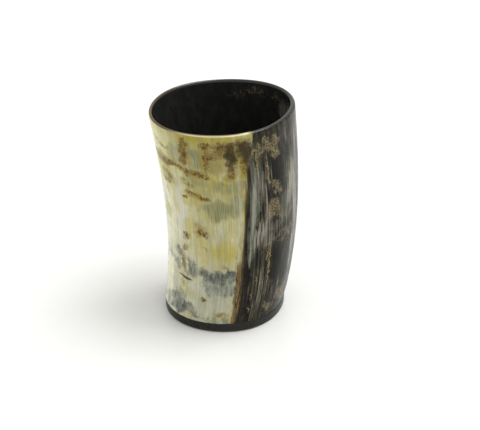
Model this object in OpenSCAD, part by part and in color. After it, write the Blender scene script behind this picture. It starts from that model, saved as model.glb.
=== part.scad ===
// Horn tumbler: a bowed length of natural ox horn, closed by a stepped foot disc of dark horn.
// Millimetres, +Z up. The origin is the middle of the foot disc's underside, and the horn bows towards +X.
// The horn's wall is a closed profile of rows swept round the horn, so each ring of points has one
// outline: a circle with a little oval, egg and square in it, about a centre line that bows.

/* [Cup] */
// Height from the table to the middle of the rim
cup_h = 120; // [100:1:140]
// Mean diameter of the horn at the foot
foot_d = 65.4; // [60:0.2:72]
// Mean diameter of the horn at the rim
rim_d = 75; // [68:0.2:84]

/* [Natural shape of the horn] */
// How far the horn's middle bows towards +X
bow = 5.1; // [0:0.1:8]
// Share of the bow that sits low in the horn
bow_low = 0.2; // [0:0.02:0.3]
// How far the middle of the rim leans back towards -X
rim_lean = 0.8; // [0:0.1:4]
// Share by which the rim is oval
rim_oval = 0.053; // [0:0.001:0.08]
// Share by which the foot is oval
foot_oval = 0.024; // [0:0.001:0.05]
// Direction of the oval's long axis from +X, in degrees
oval_dir = 29; // [0:1:179]
// Share by which every outline is egg-shaped
egg = 0.011; // [0:0.001:0.02]
// Direction of the egg's blunt end, in degrees
egg_dir = 32; // [0:1:119]
// Share by which every outline is squared
square = 0.012; // [0:0.001:0.02]
// Direction of one squared corner, in degrees
square_dir = 36; // [0:1:89]
// Rise of the rim towards +X, in degrees
rim_tilt = 0.8; // [0:0.1:2]

/* [Wall] */
// Wall thickness at the rim, on average round the cup
rim_wall = 2.5; // [1.8:0.1:3.2]
// Wall thickness at the foot, on average round the cup
foot_wall = 3.4; // [2.6:0.1:4.4]
// Share by which the wall is thicker on one side
wall_uneven = 0.22; // [0:0.01:0.3]
// Direction of the thick side, in degrees
thick_dir = -30; // [-180:1:180]
// Height of the rounded lip
lip_h = 1.6; // [0.8:0.1:2.5]

/* [Foot disc and joint] */
// Thickness of the disc that shows under the wall
plate_t = 5.4; // [3:0.1:7]
// Height of the spigot that stands up inside the wall
spigot_h = 3; // [2:0.1:5]
// Radius of the disc's rubbed lower edge
edge_r = 1; // [0.5:0.1:1.5]
// Thickness of the glue film
glue_t = 0.15; // [0.1:0.01:0.3]
// How far the glue film stops short of the outside
glue_inset = 0.1; // [0.05:0.01:0.3]
// Size of the seal bead in the inside corner
bead = 2.2; // [1.5:0.1:3]

/* [Hidden] */

pale_horn = [0.80, 0.77, 0.60];
dark_horn = [0.13, 0.12, 0.10];
dried_glue = [0.32, 0.24, 0.13];
amber_resin = [0.20, 0.14, 0.08];

columns = 72;            // points in each outline
side_rows = 20;          // rows between the bead's top and the lip
lip_steps = 6;           // steps over the lip
edge_steps = 3;          // steps over the disc's lower edge
bead_steps = 4;          // steps over the bead's hollow face
tilt_from = 20;          // the rim's tilt begins at this height
joint_z = plate_t + glue_t;
floor_z = plate_t + spigot_h;
bead_top = floor_z + bead;
lip_z = cup_h - lip_h;

// The outline at a height z, as functions of z and of the angle a from +X.
function share(z) = z / cup_h;
function blend(low, high, z) = low + (high - low) * share(z);
function centre_x(z) = let (t = share(z))
    4 * bow * t * (1 - t) * (1 - bow_low * (2 * t - 1)) - rim_lean * t;
function mean_r(z) = blend(foot_d, rim_d, z) / 2;
function outer_r(a, z) = mean_r(z) * (1 + blend(foot_oval, rim_oval, z) * cos(2 * (a - oval_dir))
    + egg * cos(3 * (a - egg_dir)) + square * cos(4 * (a - square_dir)));
function wall(a, z) = blend(foot_wall, rim_wall, z) * (1 + wall_uneven * cos(a - thick_dir));
function tilt(x, z) = tan(rim_tilt) * x * max(0, z - tilt_from) / (cup_h - tilt_from);

// A row is [height whose outline it takes, height where it lies, depth into the wall from 0 to 1,
// further inset in millimetres].
function point(row, a) = let (
        r = outer_r(a, row[0]) - row[2] * wall(a, row[0]) - row[3],
        x = centre_x(row[0]) + r * cos(a))
    [x, r * sin(a), row[1] + tilt(x, row[1])];
function ring(row) = [for (i = [0 : columns - 1]) point(row, 360 * i / columns)];
function plan(row) = [for (p = ring(row)) [p[0], p[1]]];

// Triangles between ring k and the ring after it, where n rings may close on themselves.
function band(k, n) = [for (i = [0 : columns - 1]) let (
        j = (i + 1) % columns, low = k * columns, high = ((k + 1) % n) * columns)
    each [[low + i, high + j, low + j], [low + i, high + i, high + j]]];

// A closed profile swept round the horn.
module swept(rows) {
    polyhedron(
        points = [for (row = rows) each ring(row)],
        faces = [for (k = [0 : len(rows) - 1]) each band(k, len(rows))]);
}

// A stack of rings closed by a flat cap at each end.
module stacked(rows) {
    top = (len(rows) - 1) * columns;
    polyhedron(
        points = [for (row = rows) each ring(row)],
        faces = concat(
            [for (k = [0 : len(rows) - 2]) each band(k, len(rows))],
            [[for (i = [0 : columns - 1]) i]],
            [[for (i = [columns - 1 : -1 : 0]) top + i]]));
}

// The wall: up the outside, over the rounded lip, down the inside and down the straight bore.
module horn_wall() {
    outside = [joint_z, floor_z, bead_top,
        for (i = [1 : side_rows]) bead_top + (lip_z - bead_top) * i / side_rows];
    inside = [for (i = [len(outside) - 1 : -1 : 1]) outside[i]];
    color(pale_horn) swept(concat(
        [for (z = outside) [z, z, 0, 0]],
        [for (i = [1 : lip_steps - 1]) let (a = 180 * i / lip_steps, z = lip_z + lip_h * sin(a))
            [z, z, (1 - cos(a)) / 2, 0]],
        [for (z = inside) [z, z, 1, 0]],
        [[floor_z, joint_z, 1, 0]]));
}

// The foot disc: a plate flush with the wall's outside, and a spigot that plugs the bore.
module foot_disc() {
    color(dark_horn) union() {
        stacked(concat(
            [for (i = [0 : edge_steps]) let (a = 90 * i / edge_steps)
                [joint_z, edge_r * (1 - cos(a)), 0, edge_r * (1 - sin(a))]],
            [[joint_z, plate_t, 0, 0]]));
        linear_extrude(floor_z) polygon(plan([floor_z, 0, 1, glue_t]));
    }
}

// The glue: flat under the wall's end, then up round the spigot.
module glue_film() {
    color(dried_glue) swept([
        [joint_z, plate_t, 0, glue_inset],
        [joint_z, joint_z, 0, glue_inset],
        [floor_z, joint_z, 1, 0],
        [floor_z, floor_z, 1, 0],
        [floor_z, floor_z, 1, glue_t],
        [floor_z, plate_t, 1, glue_t]]);
}

// The seal bead: a hollow-faced fillet in the corner between the floor and the wall.
module seal_bead() {
    color(amber_resin) swept(concat(
        [[floor_z, floor_z, 1, 0], [bead_top, bead_top, 1, 0]],
        [for (i = [1 : bead_steps]) let (a = 90 * i / bead_steps, z = bead_top - bead * sin(a))
            [z, z, 1, bead * (1 - cos(a))]]));
}

horn_wall();
foot_disc();
glue_film();
seal_bead();
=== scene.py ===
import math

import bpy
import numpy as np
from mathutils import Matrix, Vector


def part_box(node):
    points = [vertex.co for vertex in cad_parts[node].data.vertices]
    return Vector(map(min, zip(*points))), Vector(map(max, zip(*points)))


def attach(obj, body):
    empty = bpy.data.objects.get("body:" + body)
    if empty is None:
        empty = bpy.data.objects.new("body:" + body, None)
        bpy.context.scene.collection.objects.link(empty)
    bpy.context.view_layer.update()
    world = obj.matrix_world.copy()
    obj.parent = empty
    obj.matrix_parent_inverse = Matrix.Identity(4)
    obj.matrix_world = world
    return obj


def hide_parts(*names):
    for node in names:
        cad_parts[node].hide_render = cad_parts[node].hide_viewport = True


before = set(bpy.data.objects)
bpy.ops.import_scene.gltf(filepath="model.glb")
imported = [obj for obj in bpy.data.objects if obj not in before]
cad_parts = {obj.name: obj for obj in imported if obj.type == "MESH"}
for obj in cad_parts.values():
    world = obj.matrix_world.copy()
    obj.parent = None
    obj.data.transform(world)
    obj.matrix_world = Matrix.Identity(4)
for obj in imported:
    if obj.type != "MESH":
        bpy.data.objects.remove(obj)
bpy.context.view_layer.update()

# The looks of the horn tumbler. The four CAD pieces are remade as finer meshes from the same
# driving dimensions, with the small unevenness of hand-scraped horn, and get node materials.
# Sizes are in millimetres until a mesh is made; Blender's own units are metres.

MM = 0.001


# ---- The cup's shape, as in the CAD model ----

CUP_H = 120.0
FOOT_D, RIM_D = 65.4, 75.0
BOW, BOW_LOW, RIM_LEAN = 5.1, 0.2, 0.8
RIM_OVAL, FOOT_OVAL, OVAL_DIR = 0.053, 0.024, math.radians(29)
EGG, EGG_DIR = 0.011, math.radians(32)
SQUARE, SQUARE_DIR = 0.012, math.radians(36)
RIM_TILT, TILT_FROM = math.radians(0.8), 20.0
RIM_WALL, FOOT_WALL = 2.5, 3.4
WALL_UNEVEN, THICK_DIR = 0.22, math.radians(-30)
LIP_H = 1.6
GLUE_T, GLUE_INSET = 0.15, 0.1
EDGE_R = 1.0

JOINT_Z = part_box("horn_wall")[0].z / MM
PLATE_T = JOINT_Z - GLUE_T
FLOOR_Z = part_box("foot_disc")[1].z / MM
BEAD_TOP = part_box("seal_bead")[1].z / MM
BEAD = BEAD_TOP - FLOOR_Z
LIP_Z = CUP_H - LIP_H


def blend(low, high, z):
    return low + (high - low) * z / CUP_H


def centre_x(z):
    share = z / CUP_H
    return 4 * BOW * share * (1 - share) * (1 - BOW_LOW * (2 * share - 1)) - RIM_LEAN * share


def outer_r(angle, z):
    oval = blend(FOOT_OVAL, RIM_OVAL, z) * np.cos(2 * (angle - OVAL_DIR))
    egg = EGG * np.cos(3 * (angle - EGG_DIR))
    square = SQUARE * np.cos(4 * (angle - SQUARE_DIR))
    return blend(FOOT_D, RIM_D, z) / 2 * (1 + oval + egg + square)


def wall(angle, z):
    return blend(FOOT_WALL, RIM_WALL, z) * (1 + WALL_UNEVEN * np.cos(angle - THICK_DIR))


def tilt(x, z):
    return math.tan(RIM_TILT) * x * np.maximum(0, z - TILT_FROM) / (CUP_H - TILT_FROM)


# ---- Meshes ----

NOMINAL_R = 35.0    # the straightened horn that the materials are laid out on
COLUMNS = 300
FACET_DEEP, RIPPLE_DEEP, RING_DEEP = 0.10, 0.06, 0.05
SCRAPE_FADE = 6.0           # the scraping dies away over this height below the rim and over the joint
GOUGE_AT = (-45, 30.7)      # degrees round from the front, and height
GOUGE_HALF_W, GOUGE_HALF_H, GOUGE_DEEP, GOUGE_FALL = 6.6, 0.9, 0.5, 0.09
LIP_FROM = 0.2              # how deep into the wall's thickness the lip's own polish starts
BORE_FROM = 0.99            # and how deep the bore's material starts


def ring(z, lie=None, depth=0.0, inset=0.0, relief=None):
    """One ring of points: outline height, lying height, depth into the wall (0 to 1), inset."""
    lie = z if lie is None else lie
    angle = np.arange(COLUMNS) * math.tau / COLUMNS
    r = outer_r(angle, z) - depth * wall(angle, z) - inset
    if relief is not None:
        r = r + relief(angle, z)
    x = centre_x(z) + r * np.cos(angle)
    y = r * np.sin(angle)
    place = np.stack([x, y, lie + tilt(x, lie)], 1)
    straight = np.stack([NOMINAL_R * np.cos(angle), NOMINAL_R * np.sin(angle),
                         np.full(COLUMNS, lie)], 1)
    return place, straight, np.full(COLUMNS, depth)


def skin(name, rings, closed):
    """A mesh over a stack of rings: closed on itself, or with a flat cap at each end."""
    count = len(rings)
    quads = []
    for k in range(count if closed else count - 1):
        low, high = k * COLUMNS, (k + 1) % count * COLUMNS
        for i in range(COLUMNS):
            j = (i + 1) % COLUMNS
            quads.append((low + i, low + j, high + j, high + i))
    if not closed:
        top = (count - 1) * COLUMNS
        quads.append(tuple(range(COLUMNS - 1, -1, -1)))
        quads.append(tuple(top + i for i in range(COLUMNS)))
    mesh = bpy.data.meshes.new(name)
    places = np.concatenate([place for place, _, _ in rings]) * MM
    mesh.from_pydata(places.tolist(), [], quads)
    store(mesh, "straight", "FLOAT_VECTOR", "vector", np.concatenate([s for _, s, _ in rings]))
    store(mesh, "depth", "FLOAT", "value", np.concatenate([d for _, _, d in rings]))
    mesh.polygons.foreach_set("use_smooth", [True] * len(mesh.polygons))
    piece = bpy.data.objects.new(name, mesh)
    bpy.context.scene.collection.objects.link(piece)
    return piece


def store(mesh, name, kind, field, values):
    layer = mesh.attributes.new(name, kind, "POINT")
    layer.data.foreach_set(field, np.asarray(values, np.float32).ravel())


def relief(angle, z):
    """How far the scraped outside stands off the smooth outline, in millimetres."""
    fade = np.clip((z - JOINT_Z) / SCRAPE_FADE, 0, 1) * np.clip((CUP_H - z) / SCRAPE_FADE, 0, 1)
    facets = FACET_DEEP * np.cos(11 * angle + 0.02 * z) + RIPPLE_DEEP * np.cos(17 * angle - 0.015 * z + 1)
    rings = RING_DEEP * np.cos(z / 2.1 + 0.8 * np.cos(angle)) * math.exp(-z / 35)
    return fade * (facets + rings) - gouge_depth(angle, z)


def gouge_depth(angle, z):
    """A shallow nick in the left of the front, deepest in its middle and falling to the right."""
    across = (np.degrees(angle) - 360 + 90 - GOUGE_AT[0]) * math.radians(1) * NOMINAL_R
    above = z - GOUGE_AT[1] + GOUGE_FALL * across
    reach = np.clip(1 - (across / GOUGE_HALF_W) ** 2, 0, 1)
    return GOUGE_DEEP * reach * np.exp(-(above / GOUGE_HALF_H) ** 2)


def spaced(start, stop, step):
    return np.linspace(start, stop, max(2, round((stop - start) / step) + 1))


def make_wall():
    rings = [ring(z, relief=relief) for z in spaced(JOINT_Z, LIP_Z, 0.62)]
    for t in np.linspace(0, math.pi, 14)[1:-1]:
        z = LIP_Z + LIP_H * math.sin(t)
        rings.append(ring(z, depth=(1 - math.cos(t)) / 2))
    rings += [ring(z, depth=1.0) for z in spaced(FLOOR_Z, LIP_Z, 1.3)[::-1]]
    rings.append(ring(FLOOR_Z, JOINT_Z, 1.0))
    return skin("tumbler_wall", rings, True)


def make_disc():
    rings = []
    for t in np.linspace(0, math.pi / 2, 8):
        inset = EDGE_R * (1 - math.sin(t))
        rings.append(ring(JOINT_Z, EDGE_R * (1 - math.cos(t)), 0.0, inset))
    rings += [ring(JOINT_Z, z) for z in spaced(EDGE_R, PLATE_T, 0.7)[1:]]
    rings.append(ring(FLOOR_Z, PLATE_T, 1.0, GLUE_T))
    rings.append(ring(FLOOR_Z, FLOOR_Z, 1.0, GLUE_T))
    return skin("tumbler_foot", rings, False)


def make_glue():
    rings = [ring(JOINT_Z, PLATE_T, 0.0, GLUE_INSET), ring(JOINT_Z, JOINT_Z, 0.0, GLUE_INSET),
             ring(FLOOR_Z, JOINT_Z, 1.0), ring(FLOOR_Z, FLOOR_Z, 1.0),
             ring(FLOOR_Z, FLOOR_Z, 1.0, GLUE_T), ring(FLOOR_Z, PLATE_T, 1.0, GLUE_T)]
    return skin("glue_line", rings, True)


def make_bead():
    rings = [ring(FLOOR_Z, depth=1.0), ring(BEAD_TOP, depth=1.0)]
    for t in np.linspace(0, math.pi / 2, 10)[1:]:
        rings.append(ring(BEAD_TOP - BEAD * math.sin(t), None, 1.0, BEAD * (1 - math.cos(t))))
    return skin("resin_bead", rings, True)


# ---- Node materials ----

def srgb(red, green, blue):
    """A display colour, 0 to 255, as the linear colour that a shader takes."""
    linear = [(c / 255 / 12.92 if c < 11 else ((c / 255 + 0.055) / 1.055) ** 2.4)
              for c in (red, green, blue)]
    return (*linear, 1.0)


CHARCOAL = srgb(8, 8, 5)


class Paint:
    """One node material. Every method adds nodes and returns the socket that holds the result."""

    def __init__(self, name):
        self.material = bpy.data.materials.new(name)
        self.material.use_nodes = True
        self.tree = self.material.node_tree
        self.tree.nodes.clear()

    def add(self, kind, inputs, output=0, **settings):
        node = self.tree.nodes.new(kind)
        for name, value in settings.items():
            setattr(node, name, value)
        for key, value in inputs.items():
            if isinstance(value, bpy.types.NodeSocket):
                self.tree.links.new(value, node.inputs[key])
            else:
                node.inputs[key].default_value = value
        return node.outputs[output]

    def math(self, operation, a, b):
        return self.add("ShaderNodeMath", {0: a, 1: b}, operation=operation)

    def times(self, a, b):
        return self.math("MULTIPLY", a, b)

    def plus(self, a, b):
        return self.math("ADD", a, b)

    def smooth(self, value, low, high, out_low=0.0, out_high=1.0):
        """out_low at low and out_high at high, eased between them and level beyond them."""
        return self.add("ShaderNodeMapRange", {"Value": value, "From Min": low, "From Max": high,
                        "To Min": out_low, "To Max": out_high}, interpolation_type="SMOOTHSTEP",
                        clamp=False)

    def mix(self, factor, a, b):
        return self.add("ShaderNodeMix", {0: factor, 6: a, 7: b}, 2, data_type="RGBA")

    def stretch(self, vector, x, y, z):
        return self.add("ShaderNodeVectorMath", {0: vector, 1: (x, y, z)}, operation="MULTIPLY")

    def noise(self, vector, scale, detail=3.0, rough=0.5, output=0):
        return self.add("ShaderNodeTexNoise", {"Vector": vector, "Scale": scale,
                        "Detail": detail, "Roughness": rough}, output)

    def grain(self, straight, squash, scale, detail=4.0, rough=0.6):
        """Noise on the straightened horn, drawn out along it by a squash under 1."""
        return self.noise(self.stretch(straight, 1, 1, squash), scale, detail, rough)

    def attribute(self, name, output):
        return self.add("ShaderNodeAttribute", {}, output, attribute_name=name)

    def warp(self, vector, by, scale, amount, detail=3.0):
        """vector, pushed about by noise read at by."""
        push = self.noise(by, scale, detail, 0.6, output=1)
        push = self.add("ShaderNodeVectorMath", {0: push, 1: (0.5, 0.5, 0.5)}, operation="SUBTRACT")
        push = self.stretch(push, amount * 2, amount * 2, 0)
        return self.add("ShaderNodeVectorMath", {0: vector, 1: push}, operation="ADD")

    def spot(self, flat, place, hard=0.0):
        """A place's strength in the middle of its ellipse, easing to 0 at the edge. The easing
        starts at the middle, or further out the larger hard is."""
        degrees, height, half_w, half_h, turn, strength = place
        middle = math.radians(degrees) * NOMINAL_R
        cos, sin = math.cos(math.radians(turn)), math.sin(math.radians(turn))
        along = self.dot(flat, (cos, sin, -cos * middle - sin * height), half_w)
        above = self.dot(flat, (-sin, cos, sin * middle - cos * height), half_h)
        far = self.add("ShaderNodeMath", {0: along, 1: along, 2: self.times(above, above)},
                       operation="MULTIPLY_ADD")
        return self.smooth(far, 1.0, hard, 0.0, strength)

    def dot(self, vector, line, unit):
        """How far a flat place is from a line through the horn's unrolled face, in units."""
        return self.add("ShaderNodeVectorMath", {0: vector, 1: [part / unit for part in line]}, 1,
                        operation="DOT_PRODUCT")

    def spots(self, flat, places, hard=0.0):
        """The strongest of several spots."""
        result = None
        for place in places:
            one = self.spot(flat, place, hard)
            result = one if result is None else self.math("MAXIMUM", result, one)
        return result

    def cover(self, mask, grain, push, low, high):
        """mask broken up by a grain: the stronger the mask, the more of the grain shows."""
        pushed = self.add("ShaderNodeMath", {0: grain, 1: push, 2: self.plus(mask, -0.5 * push)},
                          operation="MULTIPLY_ADD")
        return self.times(self.smooth(pushed, low, high), self.smooth(mask, 0.0, 0.2))

    def surface(self, color, roughness, normal, **fixed):
        """Ends the material with a shader. fixed is the sockets that have one value all over."""
        values = {"Base Color": color, "Roughness": roughness, "Normal": normal, **fixed}
        shader = self.add("ShaderNodeBsdfPrincipled", values)
        end = self.tree.nodes.new("ShaderNodeOutputMaterial")
        self.tree.links.new(shader, end.inputs["Surface"])

    def bump(self, height, distance, strength):
        """A normal from a height; distance is in millimetres."""
        return self.add("ShaderNodeBump", {"Height": height, "Distance": distance * MM,
                        "Strength": strength})


class Place:
    """Where a shading point is on the horn, as sockets that the materials read."""


def layout(paint):
    """The straightened horn in space, and unrolled flat: millimetres right of the front, and up."""
    place = Place()
    place.straight = paint.attribute("straight", 1)
    parts = paint.add("ShaderNodeSeparateXYZ", {0: place.straight}).node
    place.up = parts.outputs[2]
    turn = paint.math("ARCTAN2", parts.outputs[0], paint.times(parts.outputs[1], -1.0))
    place.across = paint.times(turn, NOMINAL_R)
    place.flat = paint.add("ShaderNodeCombineXYZ", {0: place.across, 1: place.up, 2: 1.0})
    place.depth = paint.attribute("depth", 2)
    return place


# Places on the horn: degrees round from the front, height, half width, half height, turn, strength.

BROWN = [
    (-34, 109, 2.8, 8.6, -4, 1.0), (-32.5, 115, 2.4, 3.6, -15, 1.0), (-35, 104.5, 2.6, 3.6, 0, 0.9),
    (-64, 100, 5.0, 2.8, 0, 0.9), (-56, 99.5, 5.4, 2.6, 5, 0.85), (-47, 100.4, 6.0, 2.2, 0, 0.95),
    (-40.5, 99.8, 4.4, 2.0, 0, 0.9), (-33.5, 97.8, 3.8, 3.0, -20, 1.0), (-24, 97.5, 6.4, 2.2, -4, 0.95),
    (-17, 96, 2.8, 2.2, -20, 1.0), (-15.5, 105, 2.4, 9.5, -3, 0.85), (-14.5, 114.4, 4.4, 3.0, 0, 1.0),
    (-6, 114, 5.0, 2.4, 0, 0.7), (3, 114.5, 6.0, 3.0, 0, 0.9), (13, 115.5, 4.8, 2.4, 0, 0.7),
    (3, 98.5, 3.0, 5.0, 0, 0.85), (-8, 109.5, 6.4, 4.4, 0, 0.6), (14.5, 101, 2.4, 8.0, 0, 0.7),
    (-56, 109, 6.5, 1.5, -3, 0.6), (-64, 111, 2.4, 2.0, 0, 0.6),
    (-63, 87.5, 3.4, 2.0, 0, 0.8), (-57, 87.5, 4.6, 1.8, 14, 0.6), (-52, 91, 3.4, 1.8, 35, 0.6),
    (-58, 93.5, 5.0, 3.0, 0, 0.6), (-31, 85, 5.6, 1.6, -10, 0.9), (-22, 83.0, 5.0, 1.7, -14, 0.95),
    (-39, 82, 1.8, 1.6, 0, 0.85), (-34, 90, 4.4, 1.8, -6, 0.6), (-37, 92.5, 3.0, 1.4, 0, 0.5),
    (-27.5, 62, 3.0, 2.8, 10, 0.95), (-24, 61, 2.6, 3.4, 20, 0.85), (-42, 58, 3.0, 2.8, 0, 0.9),
    (-44, 50, 2.6, 2.2, -20, 0.9), (-45.5, 39, 1.9, 6.4, 0, 0.8), (-47, 27.5, 2.2, 2.2, 0, 0.6),
    (-24.5, 19.5, 2.2, 1.6, -10, 1.0), (-6.5, 10.8, 2.8, 1.7, -10, 1.1), (-6.5, 41.5, 3.0, 1.7, 0, 0.6),
    (-27, 37, 3.8, 2.6, 0, 0.5), (-24, 52, 1.8, 1.4, 0, 0.6), (-5, 93, 1.4, 2.0, 0, 0.5),
    (-78, 101, 8.0, 2.0, 6, 0.8), (-92, 98, 7.0, 1.8, -10, 0.8), (-104, 96, 6.0, 1.6, 4, 0.7),
    (-119, 106, 2.2, 9.0, 4, 0.8), (-128, 84, 6.0, 1.6, -12, 0.8), (-98, 58, 2.6, 2.2, 0, 0.8),
    (-112, 30, 2.0, 1.6, 0, 0.8),
]
SMUDGES = [
    (4.5, 108, 4.6, 10.0, 0, 1.15), (17.5, 110.5, 6.4, 9.0, 0, 1.25), (11, 111, 6.0, 6.0, 0, 0.6),
    (-1, 113, 6.0, 5.0, 0, 0.5), (7, 114, 10.0, 4.4, 0, 0.6),
]
STAINS = [
    (-34, 108, 5.0, 12.0, 0, 0.9), (-55, 100, 14.0, 4.6, 0, 0.9), (-40, 99.5, 9.0, 4.0, 0, 0.8),
    (-25, 97.5, 9.0, 3.8, -5, 0.9), (-15, 107, 4.6, 13.0, 0, 0.9), (6, 108, 15.0, 11.0, 0, 1.0),
    (3.5, 98, 3.6, 6.0, 0, 0.9), (-56, 90, 8.0, 6.0, 0, 0.7), (-28, 84, 11.0, 3.0, -10, 0.8),
    (-26, 62, 4.6, 4.4, 0, 0.8), (-43, 57, 3.6, 5.0, 0, 0.7), (-45.5, 44, 2.6, 12.0, 0, 0.6),
    (-24.5, 19.5, 3.0, 2.4, 0, 0.8), (-6.5, 10.8, 3.6, 2.4, 0, 0.9), (15, 100, 4.0, 10.0, 0, 0.9),
    (-63, 110, 8.0, 5.0, 0, 0.5), (9, 52, 2.0, 16.0, 0, 0.7), (11, 75, 2.0, 22.0, -5, 0.7),
    (-90, 98, 20.0, 5.0, 0, 0.9), (-119, 105, 6.0, 12.0, 0, 0.8), (-128, 84, 10.0, 4.0, -10, 0.7),
    (-145, 60, 6.0, 60.0, 0, 0.6), (-98, 58, 5.0, 5.0, 0, 0.7),
]
GOUGE = [(-45, 30.8, 6.2, 0.8, -5, 0.9), (-43, 30.4, 4.0, 1.0, -4, 0.9)]
SMOKE = [
    (-51, 45.5, 3.2, 3.6, 20, 0.9), (-53, 40, 3.6, 5.0, 0, 0.7), (-66, 40, 8.0, 6.0, 0, 0.45),
    (-37.5, 39, 3.0, 6.0, 0, 0.6), (-43, 36, 3.5, 4.0, 0, 0.5), (-26, 36, 11.0, 5.0, -10, 0.75),
    (-10, 34.5, 8.0, 5.6, -12, 0.95), (1, 35, 5.4, 6.0, 0, 1.0), (-17.5, 32, 7.0, 4.0, -12, 0.75),
    (-4, 28, 7.0, 4.0, -18, 0.5), (1, 24, 4.6, 4.0, 0, 0.45), (-41, 13.5, 5.4, 5.6, -20, 1.0),
    (-54, 15.5, 7.0, 4.2, 0, 0.8), (-50, 9.5, 10.0, 2.8, 0, 0.8), (-64, 11, 7.0, 4.6, 0, 0.5),
    (-31, 9, 6.0, 2.6, 0, 0.75), (-47.5, 20, 4.4, 3.6, 0, 0.55), (-14, 7.5, 7.0, 2.0, 0, 0.6),
    (0, 7.5, 5.0, 2.0, 0, 0.5), (-10, 21, 3.0, 3.0, 0, 0.3), (-46, 12, 11.0, 8.0, 0, 1.0),
    (-10, 28, 13.0, 7.0, -15, 0.65), (-8, 35, 10.0, 4.4, -4, 1.1), (-24, 36, 8.0, 4.0, -8, 0.9),
    (-14, 34.5, 20.0, 5.0, -4, 0.8),
    (-84, 37, 10.0, 4.0, 4, 0.4), (-99, 41, 12.0, 6.0, 14, 0.55), (-122, 47, 10.0, 9.0, 10, 0.6),
    (-142, 54, 8.0, 14.0, 0, 0.7), (-85, 11, 12.0, 4.0, 0, 0.5), (-106, 14, 9.0, 6.0, 0, 0.4),
    (-138, 18, 9.0, 10.0, 0, 0.6),
]
GREEN = [
    (-14, 76, 10.0, 7.0, 0, 1.0), (-3, 76, 9.0, 7.0, 0, 1.0), (6, 80, 7.0, 7.0, 0, 0.9),
    (-21, 75, 6.0, 5.0, 0, 0.8), (6.5, 89, 7.0, 7.0, 0, 0.8), (-23, 106, 5.4, 8.0, 0, 0.8),
    (-43, 106, 3.8, 10.0, 0, 0.5), (-27.5, 92.5, 8.0, 4.0, 0, 0.5), (-5, 88, 6.0, 4.0, 0, 0.3),
    (-24, 104, 7.0, 9.0, 0, 0.6), (-6, 90, 9.0, 6.0, 0, 0.6), (-42, 108, 5.0, 8.0, 0, 0.5),
    (-10, 102, 5.0, 6.0, 0, 0.5), (-105, 80, 14.0, 5.0, 12, 0.6), (-132, 88, 9.0, 12.0, 6, 0.6),
    (-110, 110, 6.0, 8.0, 0, 0.5),
]
YELLOW = [
    (-8, 50, 13.0, 9.0, 0, 0.8), (-26, 56, 6.5, 7.5, 0, 0.6), (-38, 62, 5.0, 12.0, 0, 0.6),
    (-64, 67.5, 7.5, 6.0, 0, 0.7), (-46, 26, 2.4, 9.5, 0, 0.7), (-5, 94, 10.0, 5.0, 0, 0.5),
    (-30, 80, 8.0, 7.0, 0, 0.6), (-62, 96, 9.0, 14.0, 0, 0.7), (-100, 60, 14.0, 10.0, 0, 0.6),
    (-25, 116, 10.0, 5.0, 0, 0.6),
]
# Pale patches in the horn; the tall band at -45 degrees is a painted reflection, not the horn's colour.
PALE_AND_REFLECTION = [
    (-25, 25, 10.0, 6.0, -12, 0.6), (-8, 17.5, 8.5, 7.0, 0, 0.5), (-58, 24, 9.0, 5.0, 0, 0.8),
    (-45, 70, 5.4, 30.0, 0, 0.9), (-13, 62, 4.0, 14.0, 0, 0.4), (-45, 46, 12.0, 4.0, -20, 0.5),
    (-100, 24, 14.0, 6.0, 0, 0.5), (-75, 60, 9.0, 26.0, 0, 0.6), (-30, 14, 5.0, 4.0, 0, 0.4),
]
# Pale fibre streaks in the dark horn; the long ones near the right edge, 60 to 85 degrees, are partly
# painted reflections.
STREAKS_AND_REFLECTIONS = [
    (19.5, 74, 1.3, 28.0, -5, 1.0), (22.5, 84, 0.9, 22.0, -4, 0.8), (26, 90, 0.8, 18.0, -2, 0.7),
    (29.5, 92, 0.7, 16.0, 0, 0.7), (33, 82, 0.7, 15.0, 0, 0.6), (36, 94, 0.8, 14.0, 0, 0.7),
    (16.5, 50, 1.1, 12.0, -3, 0.9), (20.5, 57, 1.2, 9.0, -5, 0.8), (24, 60, 1.2, 11.0, -8, 0.9),
    (28, 61, 1.1, 9.0, -8, 0.8), (31.5, 64, 1.0, 9.0, -8, 0.7), (40, 92, 0.6, 14.0, 0, 0.5),
    (23, 15, 0.9, 12.0, 0, 0.4), (27, 28, 0.7, 16.0, 0, 0.5), (31, 22, 0.7, 14.0, 0, 0.5),
    (36, 26, 0.6, 14.0, 0, 0.4), (44, 20, 0.7, 12.0, 4, 0.4),
    (61, 77, 1.6, 11.0, -3, 0.9), (65, 80, 2.0, 15.0, -2, 1.0), (69, 86, 2.0, 17.0, 0, 0.9),
    (73, 74, 2.0, 26.0, 0, 0.9), (72, 40, 2.8, 16.0, 0, 1.0), (77, 62, 1.8, 30.0, 0, 1.0),
    (78, 100, 2.2, 18.0, 0, 0.8), (62, 111, 1.6, 7.0, 0, 0.5), (84, 40, 2.2, 26.0, 3, 0.8),
    (97, 84, 1.8, 28.0, -3, 0.8), (112, 60, 2.4, 34.0, 3, 0.7), (128, 96, 2.0, 20.0, 0, 0.7),
    (150, 50, 2.4, 34.0, -3, 0.8), (172, 88, 2.0, 26.0, 2, 0.7), (-164, 40, 1.8, 24.0, 0, 0.7),
]
GREY = [
    (19.5, 88, 5.4, 34.0, -4, 1.4), (17, 62, 4.6, 22.0, -4, 1.2), (30, 92, 4.0, 22.0, 0, 0.3),
    (34, 62, 7.0, 12.0, 0, 0.8), (27, 24, 6.0, 24.0, 0, 0.2), (70, 84, 6.0, 24.0, 0, 0.8),
    (56, 70, 7.0, 15.0, 0, 0.7),
    (120, 70, 9.0, 34.0, 0, 0.6), (165, 60, 10.0, 34.0, 0, 0.5),
]
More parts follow.
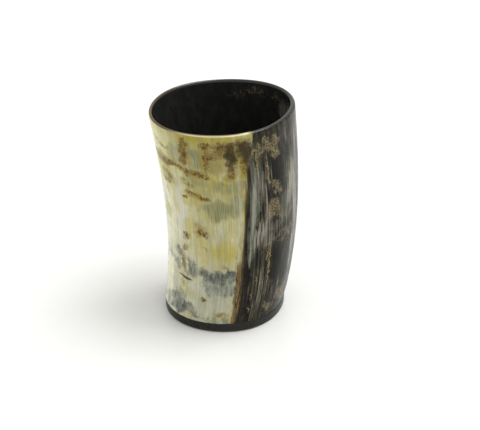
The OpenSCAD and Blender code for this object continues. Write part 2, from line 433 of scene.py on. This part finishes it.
MAUVE = [
    (30, 57, 9.0, 8.0, 10, 0.8), (33, 70, 6.0, 12.0, 0, 0.8), (64, 66, 11.0, 5.4, 5, 0.7),
    (42, 60.5, 9.0, 3.0, 20, 0.6), (30, 88, 4.0, 14.0, 0, 0.5), (72, 84, 7.0, 16.0, 0, 0.7),
    (76, 66, 6.0, 8.0, 0, 0.6), (25, 26, 8.0, 22.0, 0, 0.3), (135, 84, 14.0, 12.0, 10, 0.7),
    (165, 40, 8.0, 24.0, 0, 0.6), (100, 66, 10.0, 9.0, 10, 0.7), (120, 24, 9.0, 16.0, 0, 0.5),
    (160, 96, 7.0, 16.0, 0, 0.5),
]
CREASE = [
    (38, 54.7, 17.0, 1.8, 24, 0.7), (30, 49, 12.0, 1.4, 22, 0.5), (62, 64, 10.0, 1.6, 20, 0.6),
    (44, 62, 10.0, 1.4, 26, 0.5),
]
NETS = [
    (41, 112, 8.4, 7.0, 10, 1.0), (31, 110, 5.4, 6.0, 0, 1.0), (46, 106, 4.6, 3.8, 35, 1.0),
    (45, 84, 4.2, 5.0, 30, 1.0), (43, 73, 5.0, 7.6, 10, 0.95), (36, 69, 3.0, 6.0, 0, 0.8),
    (38.5, 13, 4.4, 5.4, 0, 0.9), (46, 14, 3.0, 3.0, 0, 0.6), (37.5, 27, 5.0, 6.0, 0, 0.6),
    (58, 18, 5.6, 6.4, 0, 0.9), (66, 14, 5.0, 5.4, 0, 0.7), (57, 54, 7.0, 5.0, 0, 0.6),
    (72, 56, 5.0, 5.0, 0, 0.6), (57, 42, 1.6, 1.6, 0, 0.6), (52, 70, 3.0, 4.0, 0, 0.5),
    (95, 111, 9.0, 5.0, 0, 0.7), (125, 30, 6.0, 5.0, 0, 0.6),
    (158, 110, 7.0, 6.0, 0, 0.6), (-165, 60, 4.0, 6.0, 0, 0.6), (110, 12, 7.0, 5.0, 0, 0.7),
]
TAN_LINES = [
    (36, 40, 0.9, 17.0, 0, 1.0), (33.5, 46, 0.7, 9.0, 0, 0.7), (26.5, 104, 1.0, 8.0, 0, 0.9),
    (36.5, 94, 1.0, 15.0, 0, 0.8), (52, 22, 0.8, 12.0, 12, 0.6), (20, 20, 0.8, 12.0, 0, 0.6),
    (24, 34, 0.8, 14.0, 0, 0.5), (28, 22, 0.8, 14.0, 0, 0.5), (140, 60, 0.9, 20.0, 0, 0.8),
]
BORE_STREAKS = [
    (104, 104, 9.0, 14.0, 0, 1.0), (118, 106, 8.0, 12.0, 0, 1.1), (84, 100, 6.0, 10.0, 0, 0.7),
]
BORE_SPECKS = [
    (150, 114, 9.0, 4.4, 0, 1.0), (168, 112, 7.0, 4.0, 0, 0.9), (130, 114, 6.0, 4.0, 0, 0.8),
]
BLACK = [
    (46, 96, 7.0, 12.0, 0, 0.9), (48, 38, 8.4, 16.0, 0, 1.0), (15.5, 36, 3.4, 14.0, 0, 1.0),
    (53, 90, 4.0, 24.0, 0, 0.8), (63, 108, 3.2, 16.0, 0, 0.7), (20, 18, 5.0, 14.0, 0, 0.7),
    (18.5, 88, 0.8, 16.0, -6, 1.0), (15.5, 72, 0.8, 12.0, -6, 0.9), (35, 62, 1.2, 9.0, 0, 0.7),
    (60, 32, 8.0, 12.0, 0, 0.8), (60, 78, 1.0, 8.0, 0, 0.9), (90, 96, 4.0, 24.0, 0, 0.8),
    (104, 40, 5.0, 26.0, 0, 0.8), (140, 50, 6.0, 40.0, 0, 0.7), (160, 90, 5.0, 24.0, 0, 0.8),
]


def pale_horn(paint, place):
    """Cream to olive horn with clouds, smoke and fine fibres in it, a left side lightened partly by
    painted sheen, and one painted reflection band.
    """
    low = paint.mix(paint.smooth(place.up, 28, 50), srgb(182, 183, 156), srgb(194, 187, 134))
    color = paint.mix(paint.smooth(place.up, 72, 92), low, srgb(172, 163, 104))
    # Towards the left edge the horn is paler cream, lifted further to near white as a painted sheen of
    # light on that side.
    to_left_cream_and_sheen = paint.smooth(paint.plus(place.across, paint.times(place.cloud, 14)), -4, -38)
    left = paint.mix(paint.smooth(place.up, 78, 92), srgb(254, 252, 222), srgb(238, 236, 178))
    left = paint.mix(paint.smooth(place.across, -46, -58), left, srgb(198, 190, 146))
    color = paint.mix(to_left_cream_and_sheen, color, left)
    color = paint.mix(paint.smooth(place.warm, 0.5, 0.66, 0, 0.5), color, srgb(190, 172, 84))
    color = paint.mix(paint.smooth(place.cool, 0.5, 0.66, 0, 0.5), color, srgb(158, 162, 130))
    color = paint.mix(paint.smooth(place.light, 0.5, 0.68, 0, 0.45), color, srgb(222, 219, 190))
    # Pale patches, and one painted reflection band at -45 degrees.
    pale_and_reflection = paint.cover(paint.spots(place.calm, PALE_AND_REFLECTION), place.band, 1.0, 0.0, 1.2)
    color = paint.mix(pale_and_reflection, color, srgb(214, 214, 198))
    yellow = paint.cover(paint.spots(place.calm, YELLOW), place.band, 1.0, 0.0, 1.2)
    color = paint.mix(yellow, color, srgb(188, 176, 84))
    color = paint.mix(paint.smooth(place.band, 0.5, 0.72, 0, 0.3), color, srgb(222, 218, 182))
    lip_band = paint.times(paint.smooth(place.up, 113, 118), paint.smooth(place.across, 12, 2))
    lip_band = paint.times(lip_band, paint.smooth(place.across, -30, -18, 0.2, 0.8))
    color = paint.mix(lip_band, color, srgb(170, 156, 62))
    green = paint.cover(paint.spots(place.calm, GREEN), place.band, 1.2, 0.0, 1.2)
    green = paint.times(green, paint.smooth(place.fine_fibre, 0.34, 0.6, 1.0, 0.5))
    color = paint.mix(green, color, srgb(98, 108, 78))
    veil = paint.grain(place.straight, 0.03, 0.22, 3.0)
    color = paint.mix(paint.smooth(veil, 0.5, 0.66, 0, 0.4), color, srgb(196, 198, 178))
    color = paint.mix(paint.smooth(veil, 0.46, 0.32, 0, 0.3), color, srgb(134, 134, 94))
    smoke = paint.spots(place.cloudy, SMOKE)
    color = paint.mix(paint.smooth(smoke, 0.0, 0.9, 0.0, 0.5), color, srgb(138, 148, 148))
    smoke = paint.cover(smoke, place.wisps, 2.8, 0.0, 1.5)
    smoke = paint.times(smoke, paint.smooth(place.fibre, 0.34, 0.58, 0.65, 1.0))
    color = paint.mix(smoke, color, srgb(52, 62, 66))
    streaky = paint.smooth(place.fine_fibre, 0.62, 0.36, 0.0, 0.16)
    streaky = paint.plus(streaky, paint.smooth(place.fibre, 0.6, 0.32, 0.0, 0.18))
    streaky = paint.times(streaky, paint.smooth(place.across, -44, -24, 0.35, 1.0))
    return paint.mix(streaky, color, srgb(98, 90, 54))


def brown_marks(paint, place, color):
    """Stains, crackled like old lacquer, soft dark smudges and one gouge."""
    halo = paint.cover(paint.spots(place.calm, STAINS), place.wisps, 1.4, 0.0, 1.1)
    color = paint.mix(paint.times(halo, 0.7), color, srgb(146, 126, 52))
    mask = paint.spots(place.ragged, BROWN)
    color = paint.mix(paint.smooth(mask, 0.0, 1.1, 0.0, 0.55), color, srgb(126, 102, 40))
    flecks = paint.cover(mask, place.speckle, 7.0, 0.6, 1.8)
    rust = paint.mix(paint.smooth(place.light, 0.46, 0.58), srgb(56, 40, 16), srgb(98, 56, 20))
    rust = paint.mix(paint.smooth(place.up, 92, 76, 0.0, 0.7), rust, srgb(118, 76, 26))
    color = paint.mix(paint.times(flecks, 0.9), color, rust)
    cracks = paint.times(paint.smooth(place.cells, 0.17, 0.02), paint.smooth(mask, 0.05, 0.9))
    color = paint.mix(paint.times(cracks, 0.6), color, srgb(80, 42, 12))
    smudge = paint.cover(paint.spots(place.ragged, SMUDGES), place.wisps, 1.0, 0.0, 1.2)
    soot = paint.mix(paint.smooth(place.cells, 0.3, 0.0, 0.0, 0.35), srgb(24, 20, 10), srgb(84, 66, 32))
    color = paint.mix(paint.times(smudge, 0.92), color, soot)
    return paint.mix(paint.spots(place.flat, GOUGE, 0.3), color, srgb(78, 54, 20))


def dark_horn(paint, place):
    """Charcoal fibres, with grey and mauve fields, creases, pale streaks (partly painted reflections near
    the right edge) and nets of tan.
    """
    color = paint.mix(paint.smooth(place.fibre, 0.42, 0.62), CHARCOAL, srgb(50, 47, 33))
    color = paint.mix(paint.smooth(place.fine_fibre, 0.52, 0.68, 0, 0.65), color, srgb(98, 93, 70))
    right = paint.times(paint.smooth(place.across, 31, 40), paint.smooth(place.up, 60, 76, 0.2, 0.5))
    right = paint.times(right, paint.smooth(place.across, 106, 88))
    color = paint.mix(paint.times(right, paint.smooth(place.band, 0.4, 0.6)), color, srgb(88, 85, 74))
    color = paint.mix(paint.times(paint.spots(place.cloudy, BLACK), 0.85), color, CHARCOAL)
    grey = paint.cover(paint.spots(place.cloudy, GREY), place.fibre, 3.0, 0.0, 1.3)
    color = paint.mix(paint.times(grey, 0.8), color, srgb(96, 97, 82))
    mauve = paint.cover(paint.spots(place.cloudy, MAUVE), place.fibre, 3.0, 0.1, 1.2)
    mauve = paint.times(mauve, paint.smooth(place.wisps, 0.3, 0.6, 0.3, 0.9))
    color = paint.mix(mauve, color, srgb(128, 117, 104))
    crease = paint.cover(paint.spots(place.calm, CREASE), place.speckle, 4.0, 0.3, 1.3)
    color = paint.mix(paint.times(crease, 0.6), color, srgb(122, 113, 98))
    # Pale streaks, partly painted reflections near the right edge.
    streak_and_reflection = paint.cover(paint.spots(place.flat, STREAKS_AND_REFLECTIONS), place.fine_fibre, 3.0, 0.1, 1.3)
    color = paint.mix(paint.times(streak_and_reflection, 0.8), color, srgb(166, 163, 148))
    net = paint.cover(paint.spots(place.cloudy, NETS), place.wisps, 2.4, 0.1, 1.0)
    net = paint.times(net, paint.smooth(place.flecks, 0.38, 0.62, 0.0, 0.85))
    color = paint.mix(net, color, srgb(146, 131, 98))
    tan = paint.cover(paint.spots(place.ragged, TAN_LINES), place.mottle, 3.0, 0.4, 0.8)
    return paint.mix(paint.times(tan, 0.85), color, srgb(136, 118, 78))


def join_pale_and_dark(paint, place, pale, dark):
    """The edge between them leans with height, with an amber strip on its pale side low down."""
    lean = paint.smooth(place.up, 48, 108, 6.7, 11.2)
    lean = paint.plus(lean, paint.smooth(place.up, 98, 119, 0, 4.4))
    past_front = paint.math("SUBTRACT", place.across, lean)
    wobble = paint.plus(paint.times(place.cool, 18), paint.times(place.up, -0.07))
    past_back = paint.math("SUBTRACT", paint.plus(wobble, -96.6), place.across)
    ragged = paint.times(paint.plus(place.fibre, -0.5), 4.0)
    past_front = paint.plus(past_front, ragged)
    past = paint.math("MAXIMUM", past_front, paint.plus(past_back, ragged))
    ragged = paint.times(paint.plus(place.mottle, -0.5), 7.0)
    strip = paint.smooth(paint.plus(past_front, ragged), -5.6, -3.4)
    strip = paint.times(strip, paint.smooth(place.up, 56, 34))
    amber = paint.mix(paint.smooth(place.fine_fibre, 0.46, 0.6), srgb(36, 29, 15), srgb(144, 114, 66))
    color = paint.mix(paint.cover(strip, place.fine_fibre, 4.0, 0.2, 0.9), pale, amber)
    near_top = paint.smooth(place.up, 108, 98)
    edge = paint.times(paint.smooth(past, -1.8, -0.4, 0.0, 0.9), near_top)
    color = paint.mix(edge, color, srgb(52, 40, 19))
    line = paint.times(paint.smooth(past, 1.5, 0.6, 0.0, 0.9), near_top)
    return paint.mix(paint.smooth(past, -0.25, 0.35), color, paint.mix(line, dark, srgb(12, 10, 6)))


def lip_color(paint, place):
    """Cream in front, partly a painted highlight, with a red-brown inner edge, brown at the left, and
    grey to black behind.
    """
    behind = paint.smooth(place.across, -104, -76)
    left = paint.times(paint.smooth(place.across, -18, -50), behind)
    color = paint.mix(left, srgb(54, 51, 44), srgb(96, 84, 48))
    color = paint.mix(paint.smooth(place.mottle, 0.4, 0.6, 0, 0.5), color, srgb(30, 27, 21))
    # The front of the lip is the horn's pale colour with a painted highlight along its top edge.
    front_cream_and_highlight = paint.times(paint.smooth(place.across, -32, -14), paint.smooth(place.across, 17, 12))
    color = paint.mix(front_cream_and_highlight, color, srgb(214, 204, 156))
    inner = paint.smooth(place.across, 16, 6, 0.0, 0.85)
    inner = paint.times(paint.smooth(place.depth, 0.22, 0.36), inner)
    color = paint.mix(paint.times(inner, behind), color, srgb(86, 61, 28))
    return paint.mix(paint.smooth(place.depth, 0.66, 0.92), color, srgb(26, 26, 24))


def polished_lip():
    paint = Paint("polished_lip")
    place = layout(paint)
    place.mottle = paint.grain(place.straight, 0.5, 0.45, rough=0.65)
    normal = paint.bump(place.mottle, 0.06, 0.3)
    rough = paint.smooth(place.mottle, 0.3, 0.7, 0.12, 0.24)
    paint.surface(lip_color(paint, place), rough, normal, **{"IOR": 1.5, "Specular IOR Level": 0.5})
    return paint.material


def horn_outside():
    paint = Paint("polished_horn")
    place = layout(paint)
    place.fibre = paint.grain(place.straight, 0.035, 0.9)
    place.fine_fibre = paint.grain(place.straight, 0.035, 2.2, rough=0.65)
    place.cloud = paint.noise(paint.stretch(place.straight, 0.6, 0.6, 1.2), 0.09, 4.0, 0.6)
    place.band = paint.grain(place.straight, 0.16, 0.5)
    place.wisps = paint.grain(place.straight, 0.55, 0.34, 5.0, 0.68)
    place.mottle = paint.grain(place.straight, 0.5, 0.45, rough=0.65)
    place.speckle = paint.grain(place.straight, 0.6, 0.8, rough=0.7)
    place.flecks = paint.grain(place.straight, 0.8, 1.3, 3.0, 0.7)
    tints = paint.noise(paint.stretch(place.straight, 1, 1, 0.6), 0.11, 4.0, 0.6, output=1)
    tints = paint.add("ShaderNodeSeparateXYZ", {0: tints}).node.outputs
    place.warm, place.cool, place.light = tints[0], tints[1], tints[2]
    place.cloudy = paint.warp(place.flat, place.straight, 0.14, 8.0)
    place.calm = paint.warp(place.flat, place.straight, 0.12, 6.0, 1.0)
    place.ragged = paint.warp(place.flat, place.straight, 0.4, 3.0)
    warped = paint.warp(place.straight, place.straight, 0.5, 3.0)
    place.cells = paint.add("ShaderNodeTexVoronoi", {"Vector": warped, "Scale": 0.6},
                            feature="DISTANCE_TO_EDGE")

    pale = brown_marks(paint, place, pale_horn(paint, place))
    color = join_pale_and_dark(paint, place, pale, dark_horn(paint, place))
    color = paint.mix(paint.smooth(place.depth, 0.06, LIP_FROM), color, lip_color(paint, place))

    bump_fibre = paint.grain(place.straight, 0.04, 2.0)
    normal = paint.bump(bump_fibre, 0.10, 0.3)
    rough = paint.smooth(place.mottle, 0.3, 0.7, 0.2, 0.36)
    paint.surface(color, rough, normal, **{
        "IOR": 1.32, "Specular IOR Level": 0.25, "Subsurface Weight": 0.10,
        "Subsurface Radius": (1.0, 0.7, 0.35), "Subsurface Scale": 0.0010})
    return paint.material


def horn_inside():
    paint = Paint("dark_bore")
    place = layout(paint)
    fibre = paint.grain(place.straight, 0.05, 0.8)
    mottle = paint.grain(place.straight, 0.5, 0.3)
    color = paint.mix(paint.smooth(mottle, 0.35, 0.7), srgb(33, 33, 32), srgb(42, 42, 39))
    ragged = paint.warp(place.flat, place.straight, 0.3, 3.0)
    streaks = paint.cover(paint.spots(ragged, BORE_STREAKS), fibre, 3.0, 0.2, 1.2)
    color = paint.mix(paint.times(streaks, 0.85), color, srgb(104, 100, 90))
    flecks = paint.grain(place.straight, 0.8, 0.9, 3.0, 0.7)
    specks = paint.cover(paint.spots(ragged, BORE_SPECKS), flecks, 5.0, 0.7, 1.7)
    color = paint.mix(paint.times(specks, 0.7), color, srgb(112, 100, 78))
    normal = paint.bump(mottle, 0.10, 0.3)
    rough = paint.smooth(mottle, 0.3, 0.7, 0.14, 0.24)
    paint.surface(color, rough, normal, **{"IOR": 1.45, "Specular IOR Level": 0.5})
    return paint.material


def foot_horn():
    paint = Paint("foot_dark_horn")
    place = layout(paint)
    object_place = paint.add("ShaderNodeTexCoord", {}, 3)
    grain = paint.noise(paint.stretch(object_place, 300, 1600, 1600), 1.0, 4.0, 0.6)
    color = paint.mix(paint.smooth(grain, 0.35, 0.7), srgb(24, 24, 20), srgb(46, 44, 36))
    # Painted highlight: the rounded lower edge is lighter warm brown, as if catching the light.
    edge_highlight = paint.smooth(place.up, 1.6, 0.3)
    color = paint.mix(paint.times(edge_highlight, 0.6), color, srgb(96, 78, 52))
    normal = paint.bump(grain, 0.08, 0.3)
    rough = paint.smooth(grain, 0.3, 0.7, 0.26, 0.42)
    paint.surface(color, rough, normal, **{"IOR": 1.4, "Specular IOR Level": 0.3})
    return paint.material


def resin(name, low, high, rough):
    paint = Paint(name)
    blotch = paint.noise(layout(paint).straight, 0.5, 3.0, 0.6)
    color = paint.mix(paint.smooth(blotch, 0.3, 0.7), low, high)
    normal = paint.bump(blotch, 0.08, 0.3)
    paint.surface(color, paint.smooth(blotch, 0.3, 0.7, rough, rough + 0.15), normal)
    return paint.material


# ---- Pieces ----

def finish_wall(mesh):
    """The outside, the bore and the lip take a material each, by how deep a face lies."""
    for material in (horn_outside(), horn_inside(), polished_lip()):
        mesh.materials.append(material)
    depths = np.zeros(len(mesh.vertices), np.float32)
    mesh.attributes["depth"].data.foreach_get("value", depths)
    for face in mesh.polygons:
        shallowest = min(depths[v] for v in face.vertices)
        if shallowest > BORE_FROM:
            face.material_index = 1
        elif shallowest > LIP_FROM:
            face.material_index = 2


wall_piece = make_wall()
finish_wall(wall_piece.data)
foot_piece = make_disc()
foot_piece.data.materials.append(foot_horn())
glue_piece = make_glue()
glue_piece.data.materials.append(resin("dried_glue", srgb(70, 54, 30), srgb(104, 84, 50), 0.3))
bead_piece = make_bead()
bead_piece.data.materials.append(resin("amber_resin", srgb(26, 20, 14), srgb(48, 36, 22), 0.12))

for piece, node, slot in (
        (wall_piece, "horn_wall", "pale_horn"),
        (foot_piece, "foot_disc", "dark_horn"),
        (glue_piece, "glue_film", "dried_glue"),
        (bead_piece, "seal_bead", "amber_resin")):
    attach(piece, "root")
    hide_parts(node)


# ---- Floor, light and camera ----

WORLD_LIGHT = 0.78
FLOOR_SIDE = 6.0
KEY_PLACE, KEY_SIZE, KEY_POWER = (0.8, 0.1, 2.1), 1.2, 32.0
CUP_MIDDLE = 0.06
SENSOR, LENS = 36.0, 110.7
SHIFT_X, SHIFT_Y = 0.0349, -0.0172
CAMERA_RISE, CAMERA_FAR = math.radians(28.72), 0.8


def studio():
    scene = bpy.context.scene
    scene.view_settings.view_transform = "Standard"
    world = bpy.data.worlds.new("studio")
    world.use_nodes = True
    world.node_tree.nodes["Background"].inputs[0].default_value = (1, 1, 1, 1)
    world.node_tree.nodes["Background"].inputs[1].default_value = WORLD_LIGHT
    scene.world = world

    mesh = bpy.data.meshes.new("floor")
    corners = [(x * FLOOR_SIDE, y * FLOOR_SIDE, 0) for x, y in ((-1, -1), (1, -1), (1, 1), (-1, 1))]
    mesh.from_pydata(corners, [], [(0, 1, 2, 3)])
    floor = bpy.data.objects.new("floor", mesh)
    scene.collection.objects.link(floor)
    paint = Paint("pale_floor")
    place = paint.add("ShaderNodeTexCoord", {}, 3)
    grain = paint.noise(place, 60.0, 3.0)
    color = paint.mix(grain, (0.86, 0.86, 0.84, 1), (0.88, 0.88, 0.86, 1))
    paint.surface(color, 0.3, paint.bump(grain, 0.05, 0.1))
    mesh.materials.append(paint.material)

    area_light("key", KEY_PLACE, KEY_SIZE, KEY_POWER)


def area_light(name, place, size, power):
    light = bpy.data.lights.new(name, "AREA")
    light.size = size
    light.energy = power
    lamp = bpy.data.objects.new(name, light)
    lamp.location = place
    aim = Vector((0, 0, CUP_MIDDLE)) - Vector(place)
    lamp.rotation_euler = aim.to_track_quat("-Z", "Y").to_euler()
    bpy.context.scene.collection.objects.link(lamp)


def camera():
    data = bpy.data.cameras.new("camera")
    data.sensor_width = SENSOR
    data.lens = LENS
    data.shift_x = SHIFT_X
    data.shift_y = SHIFT_Y
    data.clip_start = 0.01
    eye = bpy.data.objects.new("camera", data)
    back, up = CAMERA_FAR * math.cos(CAMERA_RISE), CAMERA_FAR * math.sin(CAMERA_RISE)
    eye.location = (0, -back, CUP_MIDDLE + up)
    eye.rotation_euler = (math.pi / 2 - CAMERA_RISE, 0, 0)
    bpy.context.scene.collection.objects.link(eye)
    bpy.context.scene.camera = eye


studio()
camera()
